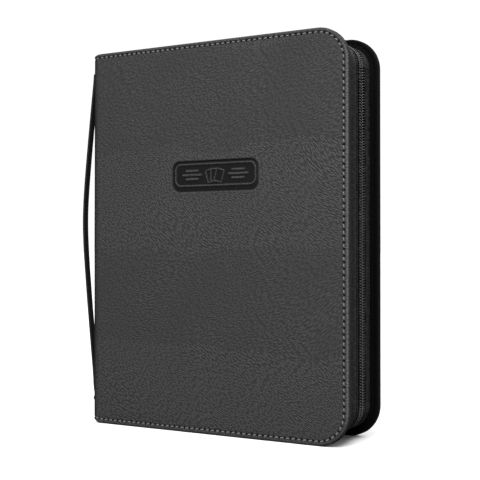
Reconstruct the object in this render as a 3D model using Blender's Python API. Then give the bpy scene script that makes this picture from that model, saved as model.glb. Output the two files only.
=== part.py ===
"""Zip-around trading card binder, standing upright on its bottom edge.

+Z is up, the spine is at -X, the fore-edge at +X, and the front cover faces -Y.
The origin is under the middle of the whole object, the carrying strap's bow included.
Both covers turn on vertical axes along the spine's outer corners. Every leaf turns on
its own axis at the binding strip, and the zipper slider runs along the top.
"""

import math

import bmesh
import bpy

MM = 0.001

# Driving dimensions, in millimetres.
HEIGHT = 240.0
WIDTH = 183.0
THICKNESS = 46.0
CORNER_RADIUS = 19.5
CORNER_STEPS = 8
COVER_THICKNESS = 4.6
GAP = 0.3

# Layers of a cover, as depths below its outer face.
LEATHER_DEPTH = 1.0
LEATHER_RIM_DEPTH = 2.2
FOAM_FROM, FOAM_TO = 1.25, 1.95
BOARD_FROM, BOARD_TO = 2.2, 3.4
LINING_RIM_DEPTH = 2.5
LINING_FROM = 3.65
RIM_WIDTH = 1.4
CORE_INSET = RIM_WIDTH + GAP
# The lining and the core stop short of the spine's corners, so that the leather can bend there.
LINING_START = 5.2
CORE_START = 6.0

# The seam runs in a shallow groove round three sides of each cover.
SEAM_INSET = 2.7
GROOVE_WIDTH = 1.2
GROOVE_DEPTH = 0.5
THREAD_WIDTH = 0.6
THREAD_FROM, THREAD_TO = 0.15, 0.48

# The wall between the covers: a gusset on each cover, and the zipper between them.
GUSSET_INSET = 5.0
GUSSET_INNER = 7.0
PARTING = 30.2
PARTING_GAP = 1.2
FRONT_GUSSET_END = 24.2
BACK_GUSSET_START = 34.6
TAPE_OUTER = 6.2
COIL_OUTER, COIL_INNER = 4.7, 5.9
COIL_HALF = 4.2

# The spine and what is sewn to it.
SPINE_LEATHER = 1.2
SPINE_BOARD_FROM, SPINE_BOARD_TO = 1.5, 3.1
SPINE_LINING_FROM, SPINE_LINING_TO = 3.4, 4.6
SPINE_BOARD_END = 22.0
BINDING_FROM = 4.9
BINDING_EDGE = 1.0
BINDING_BOW = 1.9
BINDING_END = 12.0
BINDING_STEPS = 12

# The leaves.
LEAF_COUNT = 20
LEAF_PITCH = 1.7
LEAF_LENGTH = 162.0
LEAF_END = 15.0
LEAF_ROOT = 11.0
ROOT_THICKNESS = 0.3
POCKET_THICKNESS = 1.1

# The carrying strap, bowed off the spine near its front corner.
STRAP_WIDTH = 4.6
STRAP_THICKNESS = 1.9
STRAP_CENTRE = 4.6
STRAP_BOW = 11.3
STRAP_APEX = 132.0
STRAP_TOP, STRAP_BOTTOM = 228.5, 14.0
STRAP_SLOPE_UP, STRAP_SLOPE_DOWN = 0.1085, 0.1205
STRAP_ROUNDING = 2.5
STRAP_STEPS = 32
ANCHOR_FROM, ANCHOR_TO = 2.6, 12.0
ANCHOR_HALF = 5.0

# The zipper's ends and its slider.
TAB_FROM, TAB_TO = 5.2, 15.5
WALL_START = 5.2
STOP_FROM, STOP_TO = 12.5, 14.5
STOP_HALF = 3.6
TAPE_START = 16.0
COIL_START_TOP = 20.0
SLIDER_FROM, SLIDER_TO = 16.0, 26.0
SLIDER_HALF = 4.6
SLIDER_PLATE = 1.0
SLIDER_OUTER = 3.4
WEB_HALF = 0.3
EAR_HALF = 1.2
EAR_INNER, EAR_OUTER = 1.4, 2.2
EAR_DEPTH = 1.4
PULL_PIVOT = 20.0
PULL_PIVOT_DEPTH = 2.3
PULL_LENGTH = 18.0
PULL_HALF = 3.2
PULL_THICKNESS = 1.0

LEFT = (STRAP_BOW - WIDTH) / 2
RIGHT = LEFT + WIDTH
FRONT = -THICKNESS / 2
BACK = THICKNESS / 2

BLACK = (0.012, 0.012, 0.013)
CHARCOAL = (0.045, 0.045, 0.047)
GREY = (0.09, 0.09, 0.092)
FABRIC = (0.03, 0.03, 0.031)
NYLON = (0.02, 0.02, 0.021)
THREAD_GREY = (0.24, 0.24, 0.24)
BOARD_BROWN = (0.32, 0.27, 0.20)
FOAM_GREY = (0.25, 0.25, 0.26)
FILM = (0.10, 0.10, 0.11)
METAL = (0.10, 0.10, 0.105)


def clear_scene():
    for obj in list(bpy.data.objects):
        bpy.data.objects.remove(obj, do_unlink=True)


def material(name, colour, roughness, metallic=0.0):
    made = bpy.data.materials.new(name)
    made.use_nodes = True
    shader = made.node_tree.nodes["Principled BSDF"]
    shader.inputs["Base Color"].default_value = (*colour, 1.0)
    shader.inputs["Roughness"].default_value = roughness
    shader.inputs["Metallic"].default_value = metallic
    return made


def make_object(name, points, faces, look, origin=(0.0, 0.0, 0.0)):
    """One closed mesh from points in millimetres, with its origin where its joint is."""
    built = bmesh.new()
    verts = [built.verts.new([(c - o) * MM for c, o in zip(p, origin)]) for p in points]
    for face in faces:
        built.faces.new([verts[i] for i in face])
    bmesh.ops.recalc_face_normals(built, faces=built.faces)
    mesh = bpy.data.meshes.new(name)
    built.to_mesh(mesh)
    built.free()
    mesh.materials.append(material(name, *look))
    obj = bpy.data.objects.new(name, mesh)
    obj.location = [c * MM for c in origin]
    bpy.context.scene.collection.objects.link(obj)
    return obj


def box(name, low, high, look, origin=(0.0, 0.0, 0.0)):
    points = [
        (x, y, z)
        for z in (low[2], high[2])
        for y in (low[1], high[1])
        for x in (low[0], high[0])
    ]
    faces = [(0, 2, 3, 1), (4, 5, 7, 6), (0, 1, 5, 4), (2, 6, 7, 3), (0, 4, 6, 2), (1, 3, 7, 5)]
    return make_object(name, points, faces, look, origin)


def combine(target, others, operation):
    """Adds Boolean modifiers to target, and hides the shapes that they use."""
    for other in others:
        other.hide_render = True
        other.display_type = "WIRE"
        modifier = target.modifiers.new(other.name, "BOOLEAN")
        modifier.operation = operation
        modifier.object = other
    return target


def three_sided_path(inset, start):
    """(x, z) points along the bottom, fore-edge and top at an inset from the cover's edge."""
    radius = CORNER_RADIUS - inset
    corner_x = RIGHT - CORNER_RADIUS
    path = [(start, inset)]
    for centre_z, first in ((CORNER_RADIUS, -90.0), (HEIGHT - CORNER_RADIUS, 0.0)):
        for step in range(CORNER_STEPS + 1):
            angle = math.radians(first + 90.0 * step / CORNER_STEPS)
            path.append((corner_x + radius * math.cos(angle), centre_z + radius * math.sin(angle)))
    path.append((start, HEIGHT - inset))
    return path


def depth_to_y(depth, side):
    """The y of a depth below a cover's outer face. side is -1 for the front, +1 for the back."""
    return side * (THICKNESS / 2 - depth)


def sheet_from_profile(name, profile, side, start, look, origin):
    """A plate or tray: rings at each (inset, depth), capped at both ends and at the spine side."""
    rings = [three_sided_path(inset, start) for inset, _ in profile]
    count = len(rings[0])
    points = [
        (x, depth_to_y(depth, side), z)
        for ring, (_, depth) in zip(rings, profile)
        for x, z in ring
    ]
    last = (len(rings) - 1) * count
    faces = [tuple(range(count)), tuple(range(last, last + count))]
    for ring in range(len(rings) - 1):
        base = ring * count
        for i in range(count - 1):
            faces.append((base + i, base + i + 1, base + count + i + 1, base + count + i))
    starts = [ring * count for ring in range(len(rings))]
    ends = [ring * count + count - 1 for ring in range(len(rings))]
    faces.append(tuple(starts + ends[::-1]))
    return make_object(name, points, faces, look, origin)


def band_from_profile(name, profile, side, look, origin, start_low, start_high=None):
    """A solid swept round the bottom, fore-edge and top from a closed (inset, depth) profile."""
    points = []
    for inset, depth in profile:
        path = three_sided_path(inset, start_low)
        if start_high is not None:
            path[-1] = (start_high, path[-1][1])
        points += [(x, depth_to_y(depth, side), z) for x, z in path]
    count = len(points) // len(profile)
    faces = []
    for ring in range(len(profile)):
        base, following = ring * count, (ring + 1) % len(profile) * count
        for i in range(count - 1):
            faces.append((base + i, base + i + 1, following + i + 1, following + i))
    faces.append(tuple(ring * count for ring in range(len(profile))))
    faces.append(tuple(ring * count + count - 1 for ring in range(len(profile))))
    return make_object(name, points, faces, look, origin)


def rectangle(inset_from, inset_to, depth_from, depth_to):
    corners = ((0, 0), (1, 0), (1, 1), (0, 1))
    insets, depths = (inset_from, inset_to), (depth_from, depth_to)
    return [(insets[i], depths[j]) for i, j in corners]


def make_cover(prefix, side):
    """The sewn sandwich of one cover: leather tray, foam, board, lining tray and seam thread."""
    pivot = (LEFT, side * THICKNESS / 2, 0.0)
    groove_from = SEAM_INSET - GROOVE_WIDTH / 2
    groove_to = SEAM_INSET + GROOVE_WIDTH / 2
    leather = [
        (groove_to, GROOVE_DEPTH),
        (groove_from, GROOVE_DEPTH),
        (groove_from, 0.0),
        (0.5, 0.0),
        (0.0, 0.5),
        (0.0, LEATHER_RIM_DEPTH),
        (RIM_WIDTH, LEATHER_RIM_DEPTH),
        (RIM_WIDTH, LEATHER_DEPTH),
    ]
    sheet = [(groove_to, 0.0)] + leather
    start = LEFT + SPINE_LEATHER + GAP
    sheet_from_profile(prefix + "_cover_leather", sheet, side, start, (GREY, 0.6), pivot)
    core_start = LEFT + CORE_START
    foam = [(CORE_INSET, FOAM_FROM), (CORE_INSET, FOAM_TO)]
    sheet_from_profile(prefix + "_cover_foam", foam, side, core_start, (FOAM_GREY, 0.9), pivot)
    board = [(CORE_INSET, BOARD_FROM), (CORE_INSET, BOARD_TO)]
    sheet_from_profile(prefix + "_cover_board", board, side, core_start, (BOARD_BROWN, 0.9), pivot)
    lining = [
        (RIM_WIDTH, LINING_FROM),
        (RIM_WIDTH, LINING_RIM_DEPTH),
        (0.0, LINING_RIM_DEPTH),
        (0.0, COVER_THICKNESS),
    ]
    lining_start = LEFT + LINING_START
    sheet_from_profile(prefix + "_cover_lining", lining, side, lining_start, (BLACK, 0.6), pivot)
    thread = rectangle(
        SEAM_INSET - THREAD_WIDTH / 2, SEAM_INSET + THREAD_WIDTH / 2, THREAD_FROM, THREAD_TO
    )
    band_from_profile(prefix + "_seam_thread", thread, side, (THREAD_GREY, 0.7), pivot, start + 1.0)


def make_wall(prefix, side):
    """One cover's share of the zip-around wall: gusset, zipper tape and half of the coil."""
    pivot = (LEFT, side * THICKNESS / 2, 0.0)
    inner_face = COVER_THICKNESS + GAP
    if side < 0:
        gusset_end = FRONT_GUSSET_END
        parting = PARTING - PARTING_GAP / 2
        coil_from = PARTING - COIL_HALF
    else:
        gusset_end = THICKNESS - BACK_GUSSET_START
        parting = THICKNESS - PARTING - PARTING_GAP / 2
        coil_from = THICKNESS - PARTING - COIL_HALF
    gusset = rectangle(GUSSET_INSET, GUSSET_INNER, inner_face, gusset_end)
    band_from_profile(prefix + "_gusset", gusset, side, (FABRIC, 0.85), pivot, LEFT + WALL_START)
    tape = rectangle(TAPE_OUTER, GUSSET_INNER, gusset_end + GAP, parting)
    band_from_profile(prefix + "_zipper_tape", tape, side, (FABRIC, 0.8), pivot, LEFT + TAPE_START)
    coil = rectangle(COIL_OUTER, COIL_INNER, coil_from, parting)
    coil[0] = (COIL_OUTER + 0.5, coil_from)
    band_from_profile(
        prefix + "_zipper_coil",
        coil,
        side,
        (NYLON, 0.45),
        pivot,
        LEFT + TAPE_START,
        LEFT + COIL_START_TOP,
    )


def strap_bow(z):
    """How far the strap's outer face stands off the spine: two slopes with a rounded meeting."""
    middle = STRAP_BOW + STRAP_ROUNDING
    rising = middle - STRAP_SLOPE_UP * (STRAP_APEX - z)
    falling = middle - STRAP_SLOPE_DOWN * (z - STRAP_APEX)
    return (rising + falling) / 2 - math.hypot((rising - falling) / 2, STRAP_ROUNDING)


def make_strap():
    """A flat strap whose ends turn into slots in the spine's leather."""
    half = STRAP_WIDTH / 2
    centre_y = FRONT + STRAP_CENTRE
    outline = [(LEFT + SPINE_LEATHER, STRAP_BOTTOM), (LEFT - GAP - STRAP_THICKNESS, STRAP_BOTTOM)]
    rest = GAP + STRAP_THICKNESS
    heights = [
        STRAP_BOTTOM + STRAP_THICKNESS
        + (STRAP_TOP - STRAP_BOTTOM - 2 * STRAP_THICKNESS) * step / STRAP_STEPS
        for step in range(STRAP_STEPS + 1)
    ]
    bows = [max(strap_bow(z), rest) for z in heights]
    outline += [(LEFT - bow, z) for bow, z in zip(bows, heights)]
    outline += [(LEFT - GAP - STRAP_THICKNESS, STRAP_TOP), (LEFT + SPINE_LEATHER, STRAP_TOP)]
    outline.append((LEFT + SPINE_LEATHER, heights[-1]))
    outline += [(LEFT - bow + STRAP_THICKNESS, z) for bow, z in zip(bows[::-1], heights[::-1])]
    outline.append((LEFT + SPINE_LEATHER, heights[0]))
    count = len(outline)
    points = [(x, centre_y + edge, z) for edge in (-half, half) for x, z in outline]
    faces = [tuple(range(count)), tuple(range(count, 2 * count))]
    faces += [(i, (i + 1) % count, count + (i + 1) % count, count + i) for i in range(count)]
    make_object("handle_strap", points, faces, (BLACK, 0.55))


def strap_slot(name, low, high):
    """The cutter for one slot in the spine's leather, a gap wider than the strap all round."""
    half = STRAP_WIDTH / 2 + GAP
    centre_y = FRONT + STRAP_CENTRE
    return box(
        name,
        (LEFT - 1.0, centre_y - half, low - GAP),
        (LEFT + SPINE_LEATHER + 1.0, centre_y + half, high + GAP),
        (BLACK, 0.5),
    )


def make_spine():
    outer = box(
        "spine_leather", (LEFT, FRONT, 0.0), (LEFT + SPINE_LEATHER, BACK, HEIGHT), (GREY, 0.6)
    )
    slots = [
        strap_slot("slot_bottom", STRAP_BOTTOM, STRAP_BOTTOM + STRAP_THICKNESS),
        strap_slot("slot_top", STRAP_TOP - STRAP_THICKNESS, STRAP_TOP),
    ]
    combine(outer, slots, "DIFFERENCE")
    board_half = THICKNESS / 2 - CORE_START
    box(
        "spine_board",
        (LEFT + SPINE_BOARD_FROM, -board_half, SPINE_BOARD_END),
        (LEFT + SPINE_BOARD_TO, board_half, HEIGHT - SPINE_BOARD_END),
        (BOARD_BROWN, 0.9),
    )
    lining_half = THICKNESS / 2 - LINING_START
    box(
        "spine_lining",
        (LEFT + SPINE_LINING_FROM, -lining_half, 0.0),
        (LEFT + SPINE_LINING_TO, lining_half, HEIGHT),
        (BLACK, 0.6),
    )
    for place, middle in (("bottom", STRAP_BOTTOM), ("top", STRAP_TOP)):
        box(
            "strap_anchor_" + place,
            (LEFT + SPINE_BOARD_FROM, FRONT + ANCHOR_FROM, middle - ANCHOR_HALF),
            (LEFT + SPINE_BOARD_TO, FRONT + ANCHOR_TO, middle + ANCHOR_HALF),
            (FABRIC, 0.8),
        )


def binding_face(y):
    """x of the binding strip's leaf side, which swells towards the middle of the block."""
    share = y / (LEAF_PITCH * (LEAF_COUNT - 1) / 2)
    return LEFT + BINDING_FROM + BINDING_EDGE + BINDING_BOW * (1 - share * share)


def make_binding_strip():
    half = LEAF_PITCH * (LEAF_COUNT - 1) / 2 + 0.6
    face_ys = [-half + 2 * half * step / BINDING_STEPS for step in range(BINDING_STEPS + 1)]
    outline = [(LEFT + BINDING_FROM, -half), (LEFT + BINDING_FROM, half)]
    outline += [(binding_face(y), y) for y in reversed(face_ys)]
    count = len(outline)
    points = [(x, y, z) for z in (BINDING_END, HEIGHT - BINDING_END) for x, y in outline]
    faces = [tuple(range(count)), tuple(range(count, 2 * count))]
    faces += [(i, (i + 1) % count, count + (i + 1) % count, count + i) for i in range(count)]
    make_object("binding_strip", points, faces, (FABRIC, 0.85))


def make_leaf(number):
    """A leaf: a thin root strip by its axis, then the thicker pocket sheet."""
    y = LEAF_PITCH * (number - (LEAF_COUNT + 1) / 2)
    pivot_x = binding_face(y) + GAP
    thin, thick = ROOT_THICKNESS / 2, POCKET_THICKNESS / 2
    side = [(0.0, thin), (LEAF_ROOT, thin), (LEAF_ROOT + 1.0, thick), (LEAF_LENGTH, thick)]
    outline = [(x, -t) for x, t in side] + [(x, t) for x, t in reversed(side)]
    count = len(outline)
    points = [
        (pivot_x + x, y + t, z) for z in (LEAF_END, HEIGHT - LEAF_END) for x, t in outline
    ]
    faces = [tuple(range(count)), tuple(range(count, 2 * count))]
    faces += [(i, (i + 1) % count, count + (i + 1) % count, count + i) for i in range(count)]
    make_object(f"page_{number:02d}", points, faces, (FILM, 0.25), (pivot_x, y, 0.0))


def make_zipper_end(place, level):
    """The cloth tab and the stop that close one end of the zipper. level maps an inset to z."""
    low, high = sorted((level(TAPE_OUTER), level(GUSSET_INNER)))
    box(
        "zipper_end_tab_" + place,
        (LEFT + TAB_FROM, FRONT + FRONT_GUSSET_END + GAP, low),
        (LEFT + TAB_TO, FRONT + BACK_GUSSET_START - GAP, high),
        (FABRIC, 0.8),
    )
    low, high = sorted((level(COIL_OUTER), level(COIL_INNER)))
    box(
        "zipper_stop_" + place,
        (LEFT + STOP_FROM, FRONT + PARTING - STOP_HALF, low),
        (LEFT + STOP_TO, FRONT + PARTING + STOP_HALF, high),
        (METAL, 0.4, 1.0),
    )


def make_slider():
    """Outer and inner plates joined by a thin web in the parting gap, with two ears for the pull."""
    middle = FRONT + PARTING
    outer_top = HEIGHT - SLIDER_OUTER
    inner_top = HEIGHT - GUSSET_INNER - GAP
    look = (METAL, 0.35, 1.0)

    def block(name, x_from, x_to, y_from, y_to, z_from, z_to):
        low = (LEFT + x_from, middle + y_from, z_from)
        high = (LEFT + x_to, middle + y_to, z_to)
        return box(name, low, high, look, (LEFT + SLIDER_FROM, middle, outer_top))

    plate = (SLIDER_FROM, SLIDER_TO, -SLIDER_HALF, SLIDER_HALF)
    ear_x = (PULL_PIVOT - EAR_HALF, PULL_PIVOT + EAR_HALF)
    ear_z = (outer_top - SLIDER_PLATE / 2, HEIGHT - EAR_DEPTH)
    body = block("zipper_slider", *plate, outer_top - SLIDER_PLATE, outer_top)
    # The web comes before the inner plate, so that each union meets a solid it touches.
    web = block(
        "slider_web",
        SLIDER_FROM + 0.5,
        COIL_START_TOP - 0.5,
        -WEB_HALF,
        WEB_HALF,
        inner_top - SLIDER_PLATE / 2,
        outer_top - SLIDER_PLATE / 2,
    )
    inner = block("slider_inner_plate", *plate, inner_top - SLIDER_PLATE, inner_top)
    front_ear = block("slider_ear_front", *ear_x, -EAR_OUTER, -EAR_INNER, *ear_z)
    back_ear = block("slider_ear_back", *ear_x, EAR_INNER, EAR_OUTER, *ear_z)
    combine(body, [web, inner, front_ear, back_ear], "UNION")


def make_pull():
    """The pull tab: a narrow root between the slider's ears, then the wider grip."""
    parting_y = FRONT + PARTING
    pivot = (LEFT + PULL_PIVOT, parting_y, HEIGHT - PULL_PIVOT_DEPTH)
    thick = PULL_THICKNESS / 2
    root_half = 1.1
    side = [(-0.6, root_half), (2.4, root_half), (4.0, PULL_HALF), (PULL_LENGTH - 1.5, PULL_HALF)]
    side.append((PULL_LENGTH, PULL_HALF - 1.5))
    outline = [(x, -w) for x, w in side] + [(x, w) for x, w in reversed(side)]
    count = len(outline)
    points = [
        (pivot[0] + x, pivot[1] + w, pivot[2] + level) for level in (-thick, thick) for x, w in outline
    ]
    faces = [tuple(range(count)), tuple(range(count, 2 * count))]
    faces += [(i, (i + 1) % count, count + (i + 1) % count, count + i) for i in range(count)]
    make_object("zipper_pull", points, faces, (METAL, 0.35, 1.0), pivot)


def main():
    clear_scene()
    for prefix, side in (("front", -1), ("back", 1)):
        make_cover(prefix, side)
        make_wall(prefix, side)
    make_spine()
    make_binding_strip()
    make_strap()
    for number in range(1, LEAF_COUNT + 1):
        make_leaf(number)
    make_zipper_end("bottom", lambda inset: inset)
    make_zipper_end("top", lambda inset: HEIGHT - inset)
    make_slider()
    make_pull()


main()
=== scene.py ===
"""Looks of the zip-around trading card binder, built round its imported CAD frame.

Lengths in this script are millimetres; MM turns them into Blender's metres. "Inset" is a distance
inward from a cover's edge, and "depth" is a distance inward from a cover's outer face.
"""

import math

import bmesh
import bpy
import numpy as np
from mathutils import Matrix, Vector, geometry


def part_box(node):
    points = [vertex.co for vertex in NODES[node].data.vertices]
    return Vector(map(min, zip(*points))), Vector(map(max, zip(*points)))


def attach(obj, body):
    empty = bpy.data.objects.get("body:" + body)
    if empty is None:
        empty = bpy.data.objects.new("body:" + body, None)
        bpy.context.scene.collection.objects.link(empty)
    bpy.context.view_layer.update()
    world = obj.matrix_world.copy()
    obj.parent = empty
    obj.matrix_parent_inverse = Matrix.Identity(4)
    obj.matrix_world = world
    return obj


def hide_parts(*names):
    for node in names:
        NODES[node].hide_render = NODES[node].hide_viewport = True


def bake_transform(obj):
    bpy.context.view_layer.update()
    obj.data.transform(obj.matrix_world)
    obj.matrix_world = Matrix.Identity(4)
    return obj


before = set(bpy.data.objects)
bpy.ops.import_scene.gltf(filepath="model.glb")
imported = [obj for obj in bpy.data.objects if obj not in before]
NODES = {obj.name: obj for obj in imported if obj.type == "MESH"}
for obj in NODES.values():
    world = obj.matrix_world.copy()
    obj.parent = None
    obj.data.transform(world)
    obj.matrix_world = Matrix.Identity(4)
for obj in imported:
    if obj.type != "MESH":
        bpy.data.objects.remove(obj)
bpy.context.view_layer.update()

MM = 0.001


def box_mm(node):
    low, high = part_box(node)
    return low * 1000, high * 1000


LEATHER_LOW, LEATHER_HIGH = box_mm("spine_leather")
LEFT, FRONT, BACK, HEIGHT = LEATHER_LOW.x, LEATHER_LOW.y, LEATHER_HIGH.y, LEATHER_HIGH.z
RIGHT = box_mm("front_cover_leather")[1].x
THICKNESS = BACK - FRONT
CORNER_RADIUS = 19.5
SIDES = (("front", -1), ("back", 1))

# The covers' sewn sandwich.
SLAB = 4.6
SKIN = 1.05
SKIN_RIM = 2.2
LINING_RIM = 2.5
RIM_WIDTH = 1.4
EDGE_ROUND = 0.9
SEAM_INSET = 2.7
STITCH_PITCH = 3.7
STITCH_RADIUS = 0.33
STITCH_SLANT = 0.3
STITCH_SINK = 0.22
HINGE_ROUND = 2.0
HINGE_ARC = math.pi / 2 * HINGE_ROUND
SPINE_SEAM = 9.0
FINE_STEP = 0.45
COARSE_GRID = 3.2

# The emblem pressed into the front cover: a plain framed panel with a fan of three cards.
EMBLEM_X, EMBLEM_Z = LEFT + 93.6, 157.4
EMBLEM_HALF_X, EMBLEM_HALF_Z = 30.7, 9.4
EMBLEM_GRID = 0.36

# The wall between the covers.
WALL_START = 5.2
WALL_OUTER, WALL_INNER = 5.0, 7.0
FRONT_WALL_END = 24.2
BACK_WALL_START = 34.6
PARTING = 30.2
TAPE_OUTER = 6.2
TAPE_START = 16.0
WALL_STITCH_PITCH = 2.6
COIL_PITCH = 1.635
COIL_START_TOP = 20.0


# ---------------------------------------------------------------- meshes


def link(name, data):
    """A new object in the scene."""
    obj = bpy.data.objects.new(name, data)
    bpy.context.scene.collection.objects.link(obj)
    return obj


def make_mesh(name, points, faces, rest=None, sharp=None, **shares):
    """A smooth object from points in mm, its faces turned outward and edges over "sharp" degrees hard.

    "rest" keeps each point's place for the materials, in mm, and each share is a value per point.
    """
    points = np.asarray(points, float)
    mesh = bpy.data.meshes.new(name)
    mesh.from_pydata((points * MM).tolist(), [], [list(map(int, f)) for f in faces])
    mesh.validate()
    rest = points if rest is None else np.asarray(rest, float)
    attribute = mesh.attributes.new("rest", "FLOAT_VECTOR", "POINT")
    attribute.data.foreach_set("vector", rest.astype(np.float32).ravel())
    for key, values in shares.items():
        attribute = mesh.attributes.new(key, "FLOAT", "POINT")
        attribute.data.foreach_set("value", np.asarray(values, np.float32))
    mesh.polygons.foreach_set("use_smooth", [True] * len(mesh.polygons))
    built = bmesh.new()
    built.from_mesh(mesh)
    bmesh.ops.recalc_face_normals(built, faces=built.faces)
    built.to_mesh(mesh)
    built.free()
    if sharp is not None:
        mesh.set_sharp_from_angle(angle=math.radians(sharp))
    return link(name, mesh)


def dress(obj, material, body=None, replaces=()):
    """Gives a piece its material, the body it rides on and the nodes it stands for."""
    obj.data.materials.append(material)
    if body:
        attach(obj, body)
    if replaces:
        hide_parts(*replaces)


def tubes(name, groups, rests=None, sharp=50):
    """One object from groups of rings of points, each group a closed tube with capped ends."""
    points, faces = [], []
    for rings in groups:
        rings = np.asarray(rings, float)
        count, size = rings.shape[:2]
        first, last = len(points), len(points) + (count - 1) * size
        points += list(rings.reshape(-1, 3))
        for base in range(first, last, size):
            for j in range(size):
                a, b = base + j, base + (j + 1) % size
                faces.append((a, b, b + size, a + size))
        faces += [tuple(range(first, first + size)), tuple(range(last, last + size))]
    rest = None if rests is None else np.asarray(rests, float).reshape(-1, 3)
    return make_mesh(name, points, faces, rest, sharp)


def strip_faces(rows, count):
    """Faces between open rows of points, one row after another."""
    return [
        (base + i, base + i + 1, base + count + i + 1, base + count + i)
        for base in range(0, (rows - 1) * count, count)
        for i in range(count - 1)
    ]


def side_y(depth, side):
    """The y of a depth below a cover's outer face. side is -1 for the front, +1 for the back."""
    return side * (THICKNESS / 2 - depth)


def run_lengths(points):
    """The distance along a line of points, from its start to each of them."""
    return np.concatenate([[0.0], np.cumsum(np.linalg.norm(np.diff(points, axis=0), axis=1))])


def unit_tangents(points):
    """The direction of a line of points at each of them."""
    tangents = np.gradient(points, axis=0)
    return tangents / np.linalg.norm(tangents, axis=1)[:, None]


def three_sided(inset, start, step, arc_step=5.0, start_high=None):
    """Points (x, z), outward normals and distances along the bottom, fore-edge and top."""
    radius, corner_x = CORNER_RADIUS - inset, RIGHT - CORNER_RADIUS
    height = HEIGHT - 2 * CORNER_RADIUS
    start_high = start if start_high is None else start_high
    arcs = max(2, round(90 / arc_step))
    lengths = (corner_x - start, height, corner_x - start_high)
    bottom, fore, top = (max(1, round(length / step)) for length in lengths)
    spots = [(start + (corner_x - start) * i / bottom, inset, 0.0, -1.0) for i in range(bottom)]
    for first, centre_z in ((-90, CORNER_RADIUS), (0, HEIGHT - CORNER_RADIUS)):
        for i in range(arcs + 1):
            angle = math.radians(first + 90 * i / arcs)
            x, z = math.cos(angle), math.sin(angle)
            spots.append((corner_x + radius * x, centre_z + radius * z, x, z))
        if first:
            rises = [CORNER_RADIUS + height * i / fore for i in range(1, fore)]
            spots += [(corner_x + radius, rise, 1.0, 0.0) for rise in rises]
    runs = [corner_x + (start_high - corner_x) * i / top for i in range(1, top + 1)]
    spots = np.array(spots + [(run, HEIGHT - inset, 0.0, 1.0) for run in runs])
    return spots[:, :2], spots[:, 2:], run_lengths(spots[:, :2])


def band(name, profile, side, start, ripple=0.0):
    """A closed (inset, depth) profile swept round three sides; rest holds (along, depth, inset)."""
    rings, rest = [], []
    for (x, z), (nx, nz), s in zip(*three_sided(profile[0][0], start, 2.0)):
        ring = []
        for inset, depth in profile:
            wave = ripple * math.sin(s / 7.3 + depth) * math.sin(s / 17.9)
            shift = profile[0][0] - inset + wave
            ring.append((x + nx * shift, side_y(depth, side), z + nz * shift))
        rings.append(ring)
        rest.append([(s, depth, inset) for inset, depth in profile])
    return tubes(name, [rings], [rest])


def slab(name, columns, rows, outer, inner, sharp=50, axes=(0, 1, 2), **shares):
    """A closed sheet between two grid surfaces of (column, row). axes orders rest."""
    nu, nv = len(columns), len(rows)
    half = nu * nv
    points = [surface(u, v) for surface in (outer, inner) for v in rows for u in columns]
    faces = []
    for a, b, c, d in strip_faces(nv, nu):
        faces += [(a, b, c, d), (half + a, half + d, half + c, half + b)]
    border = list(range(nu)) + [j * nu + nu - 1 for j in range(1, nv)]
    border += [(nv - 1) * nu + i for i in range(nu - 2, -1, -1)]
    border += [j * nu for j in range(nv - 2, 0, -1)]
    for a, b in zip(border, border[1:] + border[:1]):
        faces.append((a, half + a, half + b, b))
    return make_mesh(name, points, faces, np.array(points)[:, axes], sharp, **shares)


def fill(boundary, inner_points):
    """Triangles inside a closed boundary, through the inner points. Returns extra points too."""
    coords = [Vector(p) for p in boundary] + [Vector(p) for p in inner_points]
    count = len(boundary)
    found = geometry.delaunay_2d_cdt(coords, [], [list(range(count))], 1, 1e-4)
    places, _, triangles, origins = found[0], found[1], found[2], found[3]
    index, extra = {}, []
    for i, origin in enumerate(origins):
        on_boundary = [o for o in origin if o < count]
        if on_boundary:
            index[i] = on_boundary[0]
        else:
            index[i] = count + len(extra)
            extra.append(tuple(places[i]))
    return [tuple(index[i] for i in t) for t in triangles], extra


def bell(value, width):
    return np.exp(-((np.asarray(value, float) / width) ** 2))


def ramp(value, low, high):
    share = np.clip((np.asarray(value, float) - low) / (high - low), 0, 1)
    return share * share * (3 - 2 * share)


def rounded_edge(distance, radius):
    """How far a surface has dropped at a distance from its edge, for a rounded edge."""
    gap = np.clip(radius - distance, 0, radius)
    return radius - math.sqrt(radius * radius - gap * gap)


# ---------------------------------------------------------------- materials


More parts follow.
